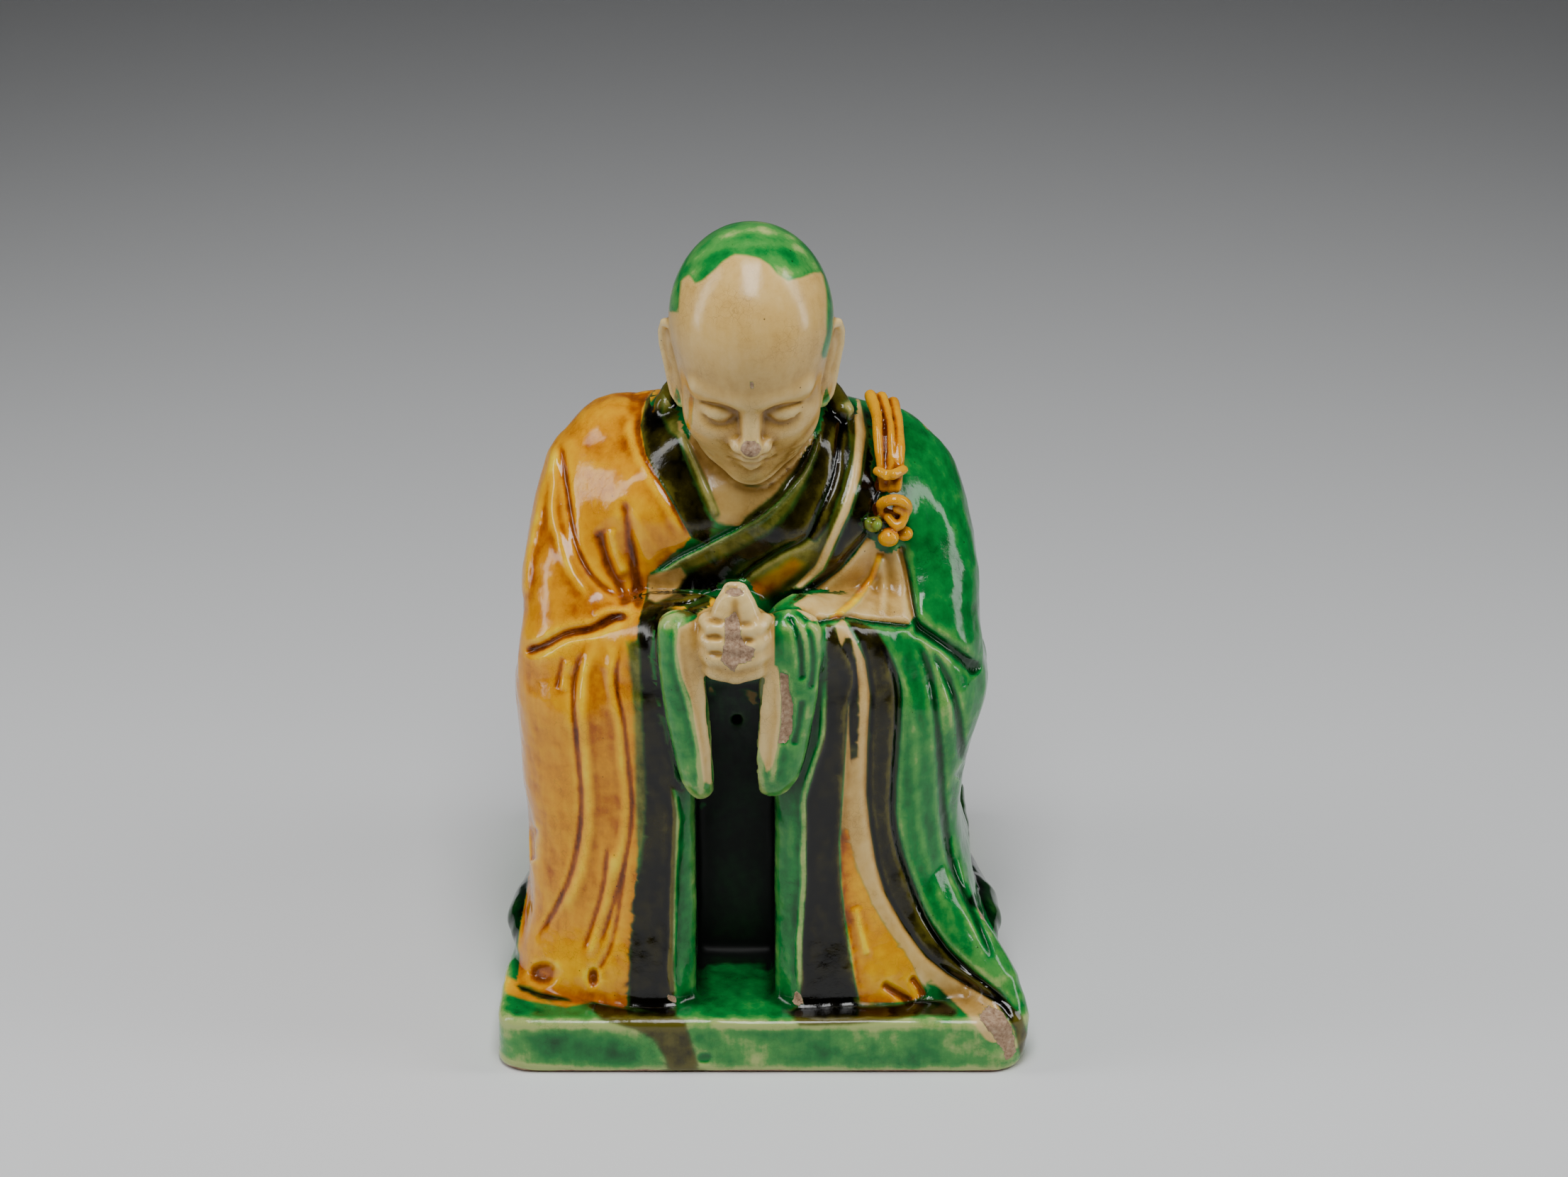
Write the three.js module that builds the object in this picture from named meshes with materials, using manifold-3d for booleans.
// A glazed stoneware figure of a kneeling monk: he bows with joined hands, and his long sleeves
// fall to the front edge of the slab that he kneels on. Figure and slab are one fired piece.
//
// Millimetres, +Z up, the figure faces -Y. The origin is at the middle of the slab's underside.
// "Left" and "right" are the viewer's, as he is seen from the front.
import * as THREE from "three";
import { mergeVertices } from "three/addons/utils/BufferGeometryUtils.js";
import Module from "manifold-3d";

const wasm = await Module();
wasm.setup();

// Driving dimensions
const slabWidth = 164; // along X
const slabDepth = 164; // along Y
const slabHeight = 19;
const slabCorner = 11; // plan radius of the slab's corners
const slabInset = 11.5; // how far the slab's right side runs in behind the trailing cloth
const slabBend = 60; // how far behind the front it has run in
const slabEdge = 3; // rounding of its top and bottom edges
const figureHeight = 241; // from the slab's top to the crown
const gapWidth = 24.5; // between the two hanging sleeves
const sleeveStrip = 6.6; // width of the turned-in strip beside the gap
const ventRadius = 2.6; // the hole that let steam out of the hollow clay
const ventDepth = 9;

// The figure is laid out on 241 units of height, and z counts up from the slab's top.
const unit = figureHeight / 241;
const sunk = 3; // how far the cloth reaches into the slab, so that they are one solid
const at = (x, y, z) => new THREE.Vector3(x * unit, y * unit, slabHeight + z * unit);
const middle = -3; // the body's own middle plane, a little left of the slab's
const slabSide = slabWidth / 2 / unit; // the slab's edges in figure units
const slabFront = -slabDepth / 2 / unit;
const gapMiddle = -8;

const clamp = (value, low, high) => Math.min(high, Math.max(low, value));
const mix = (a, b, share) => a + (b - a) * share;
// Rises smoothly from 0 at the first key to 1 at the second, which may be the lower of the two.
const ease = (from, to, key) => THREE.MathUtils.smoothstep((key - from) / (to - from), 0, 1);
const bump = (distance, width) => Math.exp(-((distance / width) ** 2));

// A smooth curve of one value against another, through [key, value] pairs in rising order of key.
function profile(pairs) {
  return (key) => {
    const last = pairs.length - 1;
    const i = clamp(pairs.findIndex((pair) => pair[0] > key) - 1, 0, last - 1);
    const n = key >= pairs[last][0] ? last - 1 : i;
    const span = pairs[n + 1][0] - pairs[n][0];
    const share = clamp((key - pairs[n][0]) / span, 0, 1);
    const slope = (k) => {
      const before = pairs[Math.max(0, k - 1)];
      const after = pairs[Math.min(last, k + 1)];
      return ((after[1] - before[1]) / (after[0] - before[0])) * span;
    };
    const square = share * share;
    const cube = square * share;
    return (
      (2 * cube - 3 * square + 1) * pairs[n][1] +
      (cube - 2 * square + share) * slope(n) +
      (3 * square - 2 * cube) * pairs[n + 1][1] +
      (cube - square) * slope(n + 1)
    );
  };
}

// Solids

function solidOf(geometry) {
  const bare = geometry.index ? geometry.toNonIndexed() : geometry.clone();
  bare.deleteAttribute("normal");
  bare.deleteAttribute("uv");
  const merged = mergeVertices(bare, 1e-3);
  const make = (triVerts) =>
    new wasm.Manifold(
      new wasm.Mesh({ numProp: 3, vertProperties: merged.attributes.position.array, triVerts }),
    );
  const faces = new Uint32Array(merged.index.array);
  const solid = make(faces);
  return solid.volume() > 0 ? solid : make(faces.reverse());
}

// A closed skin over rings of points: place(s, angle) is the point at share s of the way along.
function loft(rings, sides, place) {
  const positions = [];
  for (let i = 0; i <= rings; i++)
    for (let j = 0; j < sides; j++)
      positions.push(place(i / rings, (j / sides) * 2 * Math.PI));
  const ends = [0, rings].map((ring) => {
    const centre = new THREE.Vector3();
    for (let j = 0; j < sides; j++) centre.add(positions[ring * sides + j]);
    return positions.push(centre.divideScalar(sides)) - 1;
  });
  const index = [];
  for (let j = 0; j < sides; j++) {
    const next = (j + 1) % sides;
    for (let i = 0; i < rings; i++) {
      const [a, b] = [i * sides + j, i * sides + next];
      index.push(a, b, a + sides, b, b + sides, a + sides);
    }
    index.push(ends[0], next, j, ends[1], rings * sides + j, rings * sides + next);
  }
  const geometry = new THREE.BufferGeometry().setFromPoints(positions);
  geometry.setIndex(index);
  return solidOf(geometry);
}

// A round limb along a curve: radius(s) and flat(s), its depth as a share of its width.
function limb(points, radius, rings, sides, flat = () => 1) {
  const path = new THREE.CatmullRomCurve3(points);
  const frames = path.computeFrenetFrames(rings);
  return loft(rings, sides, (s, angle) => {
    const i = Math.round(s * rings);
    const r = radius(s) * unit;
    return path
      .getPointAt(s)
      .addScaledVector(frames.normals[i], r * Math.cos(angle))
      .addScaledVector(frames.binormals[i], r * flat(s) * Math.sin(angle));
  });
}

// A band of cloth or cord on a surface that faces outward: an oval section, tapering at both ends.
function band(points, width, thickness, outward, rings, sides = 6) {
  const path = new THREE.CatmullRomCurve3(points);
  return loft(rings, sides, (s, angle) => {
    const along = path.getTangentAt(s);
    const across = new THREE.Vector3().crossVectors(along, outward).normalize();
    const up = new THREE.Vector3().crossVectors(across, along).normalize();
    const squared = (value) => Math.sign(value) * Math.sqrt(Math.abs(value));
    return path
      .getPointAt(s)
      .addScaledVector(across, (width * unit * squared(Math.cos(angle))) / 2)
      .addScaledVector(up, (thickness * unit * squared(Math.sin(angle))) / 2);
  });
}

const ball = (centre, rx, ry, rz, sides = 12) =>
  solidOf(
    new THREE.SphereGeometry(unit, sides, Math.round(sides * 0.66))
      .scale(rx, ry, rz)
      .translate(centre.x, centre.y, centre.z),
  );

const joined = (solids) => solids.reduce((whole, piece) => whole.add(piece));

// The slab

function slab() {
  const x = slabWidth / 2 - slabEdge;
  const y = slabDepth / 2 - slabEdge;
  const r = slabCorner;
  const outline = new THREE.Shape();
  outline.moveTo(-x + r, -y).lineTo(x - r, -y).absarc(x - r, -y + r, r, -Math.PI / 2, 0);
  outline.lineTo(x - slabInset, -y + slabBend);
  outline.lineTo(x - slabInset, y - r).absarc(x - slabInset - r, y - r, r, 0, Math.PI / 2);
  outline.lineTo(-x + r, y).absarc(-x + r, y - r, r, Math.PI / 2, Math.PI);
  outline.lineTo(-x, -y + r).absarc(-x + r, -y + r, r, Math.PI, Math.PI * 1.5);
  return solidOf(
    new THREE.ExtrudeGeometry(outline, {
      depth: slabHeight - 2 * slabEdge,
      bevelThickness: slabEdge,
      bevelSize: slabEdge,
      bevelSegments: 2,
      curveSegments: 3,
    }).translate(0, 0, slabEdge),
  );
}

// The body under the robe, from the spread skirt over the knees up to the neck. Each table runs
// over the height above the slab.

const bodyHalf = profile([
  [-sunk, 67], [8, 70], [18, 69], [28, 65], [42, 60], [62, 57], [85, 54], [110, 55], [135, 56],
  [150, 55], [160, 49], [168, 39], [175, 29], [181, 20], [187, 14],
]);
const bodyFront = profile([
  [-sunk, -41], [12, -41], [34, -39], [60, -36], [90, -34], [112, -40], [135, -47], [150, -49],
  [160, -46], [168, -41], [175, -36], [181, -31], [187, -27],
]);
const bodyBack = profile([
  [-sunk, 74], [10, 76], [24, 73], [40, 68], [60, 62], [85, 53], [110, 45], [135, 36], [152, 28],
  [164, 19], [174, 10], [181, 3], [187, -3],
]);
const bodyTop = 187;
const skirtFolds = 11;

// How square a ring of the body is: a superellipse's power, from the broad skirt to the round neck.
const squareness = (z) => mix(2.9, 2.2, ease(20, 120, z));

function body() {
  return loft(15, 33, (s, angle) => {
    const z = mix(-sunk, bodyTop, s);
    const wave = (value) => Math.sign(value) * Math.abs(value) ** (2 / squareness(z));
    const swirl = angle + 0.25 * ease(20, 140, z);
    const fold = 2.2 * Math.cos(skirtFolds * swirl) * ease(165, 90, z);
    const half = bodyHalf(z) + fold;
    const y = mix(bodyFront(z), bodyBack(z) + fold, 0.5 + 0.5 * wave(Math.sin(angle)));
    return at(middle + half * wave(Math.cos(angle)), y, z);
  });
}

// The robe's hem, turned up in two rolls beside the knees, where it spreads past the sleeves.
function hemRoll(side) {
  const inset = side > 0 ? slabInset : 0;
  const x = side * (slabSide - 10.7 - inset);
  const lower = [at(x, -26, 6), at(x + side * 1.5, -6, 5.2), at(x - side * 4, 18, 6), at(x - side * 12, 58, 5)];
  const upper = [at(x - side * 6, -26, 13), at(x - side * 6, -8, 14), at(x - side * 11, 20, 13)];
  const girth = profile([[0, 4], [0.25, 9], [0.75, 8], [1, 4]]);
  return limb(lower, girth, 5, 8).add(limb(upper, girth, 4, 8));
}

// Arms. The upper arm goes from the shoulder to the elbow. The forearm is the top of the sleeve.

const shoulder = (side) => at(middle + side * 39, -3, 153 - side * 2);
const elbow = { x: 52, y: -33, z: 103, radius: 17 }; // x from the body's middle plane
const wrist = { x: 16, y: -59, z: 121, radius: 12 };

function upperArm(side) {
  const inside = at(middle + side * 12, -9, 157);
  const bend = at(middle + side * 49, -16, 131);
  const low = at(middle + side * elbow.x, elbow.y, elbow.z + 4);
  const girth = profile([[0, 9], [0.15, 16], [0.33, 21], [0.65, 20.5], [1, 18]]);
  return limb([inside, shoulder(side), bend, low], girth, 7, 12).add(ball(low, 18.5, 17, 17, 10));
}

// The hanging sleeves. A sleeve is a thick bag of cloth that is rounded over the forearm and falls
// to the slab. In plan it is a strip beside the gap, the front, the outer side and the gap's wall.

const sleeves = {
  left: {
    side: -1,
    outer: profile([
      [-sunk, slabSide - 9], [6, slabSide - 10], [20, 67.5], [40, 67.5], [70, 69.5], [108, 71.5],
    ]),
    sweep: 0.25,
    grooves: [0.18, 0.3, 0.44, 0.62],
    ridges: [0.1],
  },
  right: {
    side: 1,
    outer: profile([
      [-sunk, slabSide], [4, slabSide - 3], [14, slabSide - 7.5], [30, 68.5], [48, 65.5], [70, 65],
      [108, 70.5],
    ]),
    sweep: 0.12,
    grooves: [0.13, 0.37, 0.5, 0.64],
    ridges: [0.2, 0.3],
  },
};
const sleeveFront = profile([[-sunk, -76], [8, -74], [30, -70], [60, -68], [100, -67]]);
const sleeveSlope = profile([[-sunk, 9], [20, 12], [60, 16], [108, 16]]); // how far back its outer end is
const sleeveSide = 8; // how far back its outer side goes, to sink into the body
const sleeveWall = -34; // how far back the gap's wall goes
const grooveDepth = 2.6;
const ridgeHeight = 1.6;

function sleeve({ side, outer, sweep, grooves, ridges }) {
  const gapEdge = gapMiddle + (side * gapWidth) / 2 / unit;
  const frontEdge = gapEdge + (side * sleeveStrip) / unit;
  const clothColumns = 27; // over the front and the outer side
  const columns = clothColumns + 6;

  // The forearm's line: its depth, height and radius at a distance from the middle plane.
  const along = (x) => clamp((Math.abs(x - middle) - wrist.x) / (elbow.x - wrist.x), 0, 1);
  const armX = (x) => middle + side * mix(wrist.x, elbow.x, along(x));
  const arm = (x, what) => mix(wrist[what], elbow[what], along(x));

  function outline(z) {
    const edge = middle + side * outer(z);
    const front = sleeveFront(z);
    const back = front + sleeveSlope(z);
    return new THREE.CatmullRomCurve3([
      new THREE.Vector3(frontEdge, front, 0),
      new THREE.Vector3(mix(frontEdge, edge, 0.45), mix(front, back, 0.35), 0),
      new THREE.Vector3(edge - side * 10, back - 0.5, 0),
      new THREE.Vector3(edge - side * 1.5, back + 8, 0),
      new THREE.Vector3(edge - side * 0.5, mix(back, sleeveSide, 0.5), 0),
      new THREE.Vector3(edge - side * 15, sleeveSide, 0),
    ]);
  }

  function plan(column, z) {
    const front = sleeveFront(z);
    if (column === 0) return [gapEdge, front + 5];
    if (column > clothColumns) {
      const share = (column - clothColumns) / (columns - clothColumns);
      const inner = middle + side * (outer(z) - 22);
      return [mix(inner, gapEdge, ease(0, 0.7, share)), mix(sleeveSide, sleeveWall, ease(0, 0.4, share))];
    }
    const cloth = (column - 1) / (clothColumns - 1);
    const fallen = sweep * Math.sin(Math.PI * cloth) ** 1.5 * ease(68, 5, z);
    const curve = outline(z);
    const share = clamp(cloth + fallen, 0, 1);
    const point = curve.getPointAt(share);
    const tangent = curve.getTangentAt(share);
    const relief = (places) => places.reduce((sum, place) => sum + bump(cloth - place, 0.032), 0);
    const lift = ridgeHeight * relief(ridges) - grooveDepth * relief(grooves);
    return [point.x + side * lift * tangent.y, point.y - side * lift * tangent.x];
  }

  // Below the forearm's line the bag hangs straight; above it, it closes over the arm in an arch.
  const hanging = 8;
  const arching = 4;
  return loft(hanging + arching, columns, (s, angle) => {
    const column = Math.round((angle / (2 * Math.PI)) * columns);
    const step = Math.round(s * (hanging + arching));
    const turn = (Math.max(0, step - hanging) / arching) * (Math.PI / 2) * 0.96;
    const reach = plan(column, 100)[0];
    const z = mix(-sunk, arm(reach, "z"), Math.min(1, step / hanging));
    const [x, y] = plan(column, z);
    const [axisX, axisY] = [armX(x), arm(x, "y")];
    const close = Math.cos(turn);
    return at(mix(axisX, x, close), mix(axisY, y, close), z + arm(x, "radius") * Math.sin(turn));
  });
}

// The end of the right sleeve's cloth, which trails over the slab's corner.
function trail() {
  const fromCorner = (x, y, z) => at(slabSide - x, slabFront + y, z);
  const fall = [[26, 30, 24], [16, 21, 13], [8.5, 13, 5], [4.5, 8, -4], [4.5, 6, -13]];
  const run = fall.map(([x, y, z]) => fromCorner(x, y, z));
  return limb(run, profile([[0, 12], [0.5, 11], [0.8, 7.5], [1, 3.5]]), 6, 10, () => 0.6);
}

// The inner sleeves: two pouches that hang from the wrists, each with a long mouth towards the gap.

const cuffs = {
  left: { x: -24.5, width: 7.5, length: 64, lean: 6.5 },
  right: { x: 9.5, width: 10, length: 63, lean: -6 },
};

function cuff({ x, width, length, lean }, side) {
  const top = 134;
  const girth = profile([[0, 0.34], [0.12, 0.7], [0.45, 1], [0.8, 1], [0.94, 0.8], [1, 0.3]]);
  const pouch = (scale, shift, rings, sides) =>
    loft(rings, sides, (s, angle) => {
      const [w, d] = [width * girth(s) * scale, 6.5 * girth(s) * scale];
      const drop = lean * (1 - s);
      return at(x + drop - side * shift + w * Math.cos(angle), -69.5 + d * Math.sin(angle), top - length * (1 - s));
    });
  return pouch(1, 0, 8, 11).subtract(pouch(0.66, 7.5, 6, 7));
}

// The hands, joined before the chest, with the fingers lapped and the thumbs raised.

function hands() {
  const [x, y, z] = [-7.3, -69.5, 124];
  const parts = [ball(at(x, y, z), 12.6, 10.6, 12.2, 12)];
  for (const side of [-1, 1]) {
    for (let finger = 0; finger < 4; finger++) {
      const height = z + 7 - finger * 4.8;
      const out = 10.4 - Math.abs(finger - 1.6) * 0.8;
      const sunk = Math.abs(finger - 1.5) * 0.9;
      const knuckle = at(x + side * out, y - 3.5, height + 0.8);
      const bent = at(x + side * 6, y - 9.2 + sunk, height);
      const tip = at(x + side * 0.4, y - 9.8 + sunk, height - 0.8);
      parts.push(limb([knuckle, bent, tip], () => 2.7, 2, 6));
    }
    const thumb = [at(x + side * 4.2, y - 3, z + 6), at(x + side * 3, y - 3, z + 13), at(x + side * 1.6, y - 2, z + 18.5)];
    parts.push(limb(thumb, profile([[0, 4.4], [0.6, 3.4], [1, 2]]), 3, 7));
    parts.push(limb([at(x + side * 8, y + 2, z - 2), at(x + side * 18, y + 8, z - 3)], () => 7, 2, 10));
  }
  const fill = [at(x, y + 4, z + 1), at(x, y + 30, z)]; // the clay between the wrists and the chest
  parts.push(limb(fill, () => 11.5, 1, 10));
  return joined(parts);
}

// The head, bowed on its neck. Its own frame has the origin between the ears and z up the skull.

const headCentre = at(-2.5, -40, 202);
const bow = THREE.MathUtils.degToRad(22);
const earSpread = THREE.MathUtils.degToRad(28);

function inHead(x, y, z) {
  return new THREE.Vector3(x, y, z)
    .multiplyScalar(unit)
    .applyAxisAngle(new THREE.Vector3(1, 0, 0), bow)
    .add(headCentre);
}

const skullHalf = profile([
  [-33, 5], [-30, 10], [-24, 15], [-16, 18.5], [-8, 20], [0, 21], [9, 22], [18, 22.2], [26, 20.5],
  [33, 15], [37, 9], [39, 3],
]);
const skullFront = profile([
  [-33, -18], [-30, -22], [-24, -23.5], [-14, -23.5], [-6, -23], [0, -22.6], [6, -24.4], [16, -24.2],
  [26, -20.5], [33, -13.5], [37, -6], [39, 0],
]);
const skullBack = profile([
  [-33, -11], [-30, -6], [-24, 3], [-14, 12], [-4, 21], [6, 27.5], [16, 30], [26, 28], [33, 21.5],
  [37, 14], [39, 7],
]);

function head() {
  const skull = loft(14, 22, (s, angle) => {
    const z = mix(-33, 39, 0.5 - 0.5 * Math.cos(Math.PI * mix(0.05, 0.95, s)));
    const y = mix(skullFront(z), skullBack(z), 0.5 + 0.5 * Math.sin(angle));
    return inHead(skullHalf(z) * Math.cos(angle), y, z);
  });
  const parts = [skull];
  const features = [
    // centre x, y, z, then half sizes x, y, z
    [0, -25.4, -4.5, 2.4, 3.2, 8.5], // bridge of the nose
    [0, -26.6, -10.6, 5.4, 4, 2.9], // its tip and wings
    [0, -23.4, -17.6, 6, 2.4, 1.6], // upper lip
    [0, -23, -20.8, 5, 2.4, 1.8], // lower lip
    [0, -21.8, -27, 5.4, 3.4, 3.4], // chin
  ];
  for (const side of [-1, 1]) {
    features.push([side * 9, -20.6, -1.6, 5, 2.6, 2.6]); // closed lid
    features.push([side * 9.4, -21.4, 4.6, 7, 2.4, 1.7]); // brow
  }
  for (const [x, y, z, rx, ry, rz] of features) {
    const lump = new THREE.SphereGeometry(unit, 8, 5).scale(rx, ry, rz).rotateX(bow);
    const place = inHead(x, y, z);
    parts.push(solidOf(lump.translate(place.x, place.y, place.z)));
  }
  for (const side of [-1, 1]) parts.push(ear(side));
  return joined(parts);
}

// A long ear: an upright oval with a hanging lobe, cut as a plate and hollowed inside its rim.
function ear(side) {
  const outline = new THREE.Shape();
  outline.moveTo(-4, -6);
  outline.bezierCurveTo(-6, 6, -6, 14, 1, 14);
  outline.bezierCurveTo(8, 14, 8, 5, 5, -2);
  outline.bezierCurveTo(3, -7, 4.5, -10, 3, -13.5);
  outline.bezierCurveTo(1.5, -16.5, -4, -16, -4, -12);
  outline.closePath();
  const plate = new THREE.ExtrudeGeometry(outline, {
    depth: 3,
    bevelThickness: 1,
    bevelSize: 1,
    bevelSegments: 1,
    curveSegments: 2,
  });
  const hollow = new THREE.SphereGeometry(1, 7, 4).scale(3, 5.4, 1.8).translate(0.5, 5.5, 4.4);
  const [back, up, out] = [new THREE.Vector3(0, 1, 0), new THREE.Vector3(0, 0, 1), new THREE.Vector3(1, 0, 0)];
  const place = new THREE.Matrix4()
    .makeTranslation(headCentre)
    .multiply(new THREE.Matrix4().makeScale(side * unit, unit, unit))
    .multiply(new THREE.Matrix4().makeRotationX(bow))
    .multiply(new THREE.Matrix4().makeTranslation(19, 1, -1))
    .multiply(new THREE.Matrix4().makeRotationZ(-earSpread))
    .multiply(new THREE.Matrix4().makeBasis(back, up, out));
  const placed = (geometry) => solidOf(geometry.applyMatrix4(place));
  return placed(plate).subtract(placed(hollow));
}

const neck = () => limb([at(middle, -10, 168), at(middle, -26, 184), inHead(0, 3, -8)], () => 12.5, 3, 12);

// Robe edges, which lie on the chest: the points run from the shoulder down to the waist.

const forward = new THREE.Vector3(0, -1, 0.35);
const runOf = (points) => points.map(([x, y, z]) => at(x, y, z));

function collars() {
  const left = runOf([[-28, -13, 179], [-30, -26, 175], [-28, -37, 168.5], [-23, -43.5, 161], [-16, -48, 151]]);
  const inner = runOf([[22, -16, 179], [20.5, -34, 174], [17.5, -43, 166.5], [8, -50.5, 154], [-9, -51.5, 141], [-32, -49, 128]]);
  const outer = runOf([[34, -10, 178], [34, -30, 171.5], [33, -41, 163], [27, -49, 148], [18, -52, 136], [6, -54, 128]]);
  return joined([
    band(left, 11, 6, forward, 6),
    band(inner, 12, 6, forward, 7),
    band(outer, 11, 6, forward, 7),
  ]);
}

// The shawl's fastening on the right of the chest: three cords, a ring, its hook and three knots.
function clasp() {
  const x = 40.5;
  const parts = [];
  for (const offset of [-2.8, 0, 2.8]) {
    const run = runOf([[x + offset, -2, 173], [x + 1 + offset, -22, 169], [x + offset, -32, 162], [x + offset * 0.6, -37, 157]]);
    parts.push(limb(run, () => 2.1, 4, 5));
  }
  const ring = new THREE.TorusGeometry(4 * unit, 1.9 * unit, 5, 10).rotateX(Math.PI / 2 - 0.4);
  const place = at(x, -40, 153.5);
  parts.push(solidOf(ring.translate(place.x, place.y, place.z)));
  const knots = [[x, -38, 152, 3], [33.8, -41.5, 148.5, 3.4], [42.2, -36.5, 145, 3.4], [38.2, -42, 144, 3.6]];
  for (const [kx, y, z, r] of knots) parts.push(ball(at(kx, y, z), r, r, r, 7));
  return joined(parts);
}

function vent() {
  const bore = new THREE.CylinderGeometry(ventRadius, ventRadius, 2 * ventDepth, 16);
  const mouth = at(gapMiddle + 0.5, bodyFront(77), 77);
  return solidOf(bore.translate(mouth.x, mouth.y, mouth.z));
}

const figure = joined([
  slab(),
  body(),
  hemRoll(-1),
  hemRoll(1),
  upperArm(-1),
  upperArm(1),
  sleeve(sleeves.left),
  sleeve(sleeves.right),
  trail(),
  cuff(cuffs.left, -1),
  cuff(cuffs.right, 1),
  hands(),
  neck(),
  head(),
  collars(),
  clasp(),
]).subtract(vent());

function geometryOf(solid) {
  const { numProp, vertProperties, triVerts } = solid.getMesh();
  const positions = new Float32Array((vertProperties.length / numProp) * 3);
  for (let i = 0; i * 3 < positions.length; i++)
    positions.set(vertProperties.subarray(i * numProp, i * numProp + 3), i * 3);
  const geometry = new THREE.BufferGeometry();
  geometry.setAttribute("position", new THREE.BufferAttribute(positions, 3));
  geometry.setIndex(new THREE.BufferAttribute(triVerts, 1));
  geometry.computeVertexNormals();
  return geometry;
}

const glaze = new THREE.MeshStandardMaterial({ color: 0xc98a1e, roughness: 0.18, metalness: 0 });
const statue = new THREE.Mesh(geometryOf(figure), glaze);
statue.name = "arhat_statue";

const group = new THREE.Group();
group.add(statue);
export default group;
